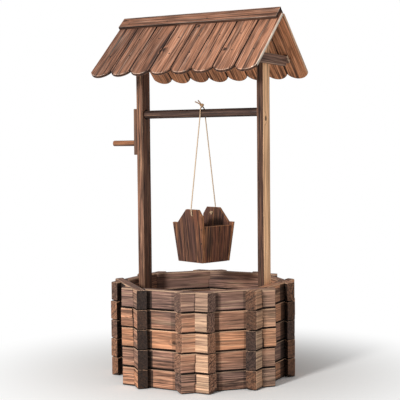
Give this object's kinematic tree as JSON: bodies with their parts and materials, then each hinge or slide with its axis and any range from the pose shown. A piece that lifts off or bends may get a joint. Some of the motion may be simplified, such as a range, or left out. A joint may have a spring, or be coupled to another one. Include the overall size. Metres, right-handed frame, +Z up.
{
  "type": "wishing well planter",
  "caption": "Free-standing wooden wishing well planter: octagonal log tub, two posts, scalloped pitched roof, and a windlass with a crank that lifts a small hanging bucket.",
  "frame": {"origin": "centre of the tub on the ground, in the underside of the middle floor bearer", "axes": "+Z up; X along the windlass bar, with the crank at -X; -Y is the front, which the picture sees"},
  "size_m": [0.6124, 0.5688, 1.1458],
  "materials": {
    "log_fir": "flame-burnt and brushed fir, matt",
    "roof_fir": "flame-burnt and brushed fir, matt",
    "batten_fir": "flame-burnt and brushed fir, matt",
    "post_fir": "flame-burnt and brushed fir, matt",
    "floor_fir": "flame-burnt and brushed fir, matt",
    "windlass_fir": "dark burnt fir, turned and brushed",
    "bucket_fir": "dark burnt and brushed fir, matt",
    "jute_rope": "twisted jute twine",
    "zinc_steel": "dulled zinc-plated steel"
  },
  "bodies": {
    "frame": {"back_lower_batten": "batten_fir", "back_ridge_cap": "roof_fir", "back_roof_board_1": "roof_fir", "back_roof_board_2": "roof_fir", "back_roof_board_3": "roof_fir", "back_roof_board_4": "roof_fir", "back_roof_board_5": "roof_fir", "back_roof_board_6": "roof_fir", "back_roof_board_7": "roof_fir", "back_roof_board_8": "roof_fir", "back_upper_batten": "batten_fir", "cap_nails": "zinc_steel", "course_1_lower_logs": "log_fir", "course_1_upper_logs": "log_fir", "course_2_lower_logs": "log_fir", "course_2_upper_logs": "log_fir", "course_3_lower_logs": "log_fir", "course_3_upper_logs": "log_fir", "course_4_lower_logs": "log_fir", "course_4_upper_logs": "log_fir", "course_5_lower_logs": "log_fir", "course_5_upper_logs": "log_fir", "floor_bearers": "floor_fir", "floor_nails": "zinc_steel", "floor_slats": "floor_fir", "front_lower_batten": "batten_fir", "front_ridge_cap": "roof_fir", "front_roof_board_1": "roof_fir", "front_roof_board_2": "roof_fir", "front_roof_board_3": "roof_fir", "front_roof_board_4": "roof_fir", "front_roof_board_5": "roof_fir", "front_roof_board_6": "roof_fir", "front_roof_board_7": "roof_fir", "front_roof_board_8": "roof_fir", "front_upper_batten": "batten_fir", "left_gable_tie": "batten_fir", "left_post": "post_fir", "post_screws": "zinc_steel", "right_gable_tie": "batten_fir", "right_post": "post_fir", "roof_nails": "zinc_steel", "tie_screws": "zinc_steel"},
    "windlass": {"windlass_bar": "windlass_fir", "crank_arm": "windlass_fir", "crank_handle": "windlass_fir", "crank_screws": "zinc_steel"},
    "rope_sling": {"front_rope_leg": "jute_rope", "back_rope_leg": "jute_rope", "rope_knot": "jute_rope"},
    "bucket": {"front_ear_panel": "bucket_fir", "back_ear_panel": "bucket_fir", "left_bucket_panel": "bucket_fir", "right_bucket_panel": "bucket_fir", "bucket_bottom": "bucket_fir", "bucket_nails": "zinc_steel", "ear_ropes": "jute_rope"}
  },
  "joints": [
    {"name": "windlass_turn", "type": "hinge", "parent": "frame", "child": "windlass", "pos_m": [0, 0, 0.8295], "axis": [1, 0, 0], "range_deg": [0, 900]},
    {"name": "bucket_swing", "type": "hinge", "parent": "frame", "child": "rope_sling", "pos_m": [0.004, 0, 0.8295], "axis": [1, 0, 0], "range_deg": [-30, 30]},
    {"name": "bucket_lift", "type": "slide", "parent": "rope_sling", "child": "bucket", "axis": [0, 0, 1], "range_m": [0, 0.2435], "deforming": ["front_rope_leg", "back_rope_leg"]}
  ],
  "couplings": [
    {"joint": "bucket_lift", "follows": "windlass_turn", "m_per_rad": 0.0155}
  ]
}
